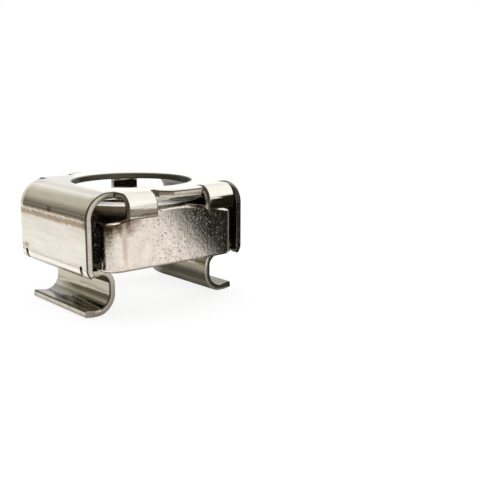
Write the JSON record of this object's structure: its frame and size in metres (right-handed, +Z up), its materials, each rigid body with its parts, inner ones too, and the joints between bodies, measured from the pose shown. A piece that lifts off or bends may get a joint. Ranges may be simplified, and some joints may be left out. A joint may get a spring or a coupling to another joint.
{
  "type": "rack cage nut",
  "caption": "Square nut held loosely in a folded spring cage, whose sprung legs clip into a square hole of a rack rail.",
  "frame": {"origin": "on the thread's axis, level with the lowest line of the two spring legs", "axes": "+Z up along the thread, out through the cage's plate; X from one spring leg to the other; Y along the legs"},
  "size_m": [0.013, 0.0132, 0.0084],
  "materials": {
    "cage_sheet": "bright stainless spring sheet",
    "nut_steel": "satin, lightly pitted, cold-pressed stainless steel"
  },
  "bodies": {
    "root": {"cage": "cage_sheet", "square_nut": "nut_steel"}
  },
  "joints": []
}
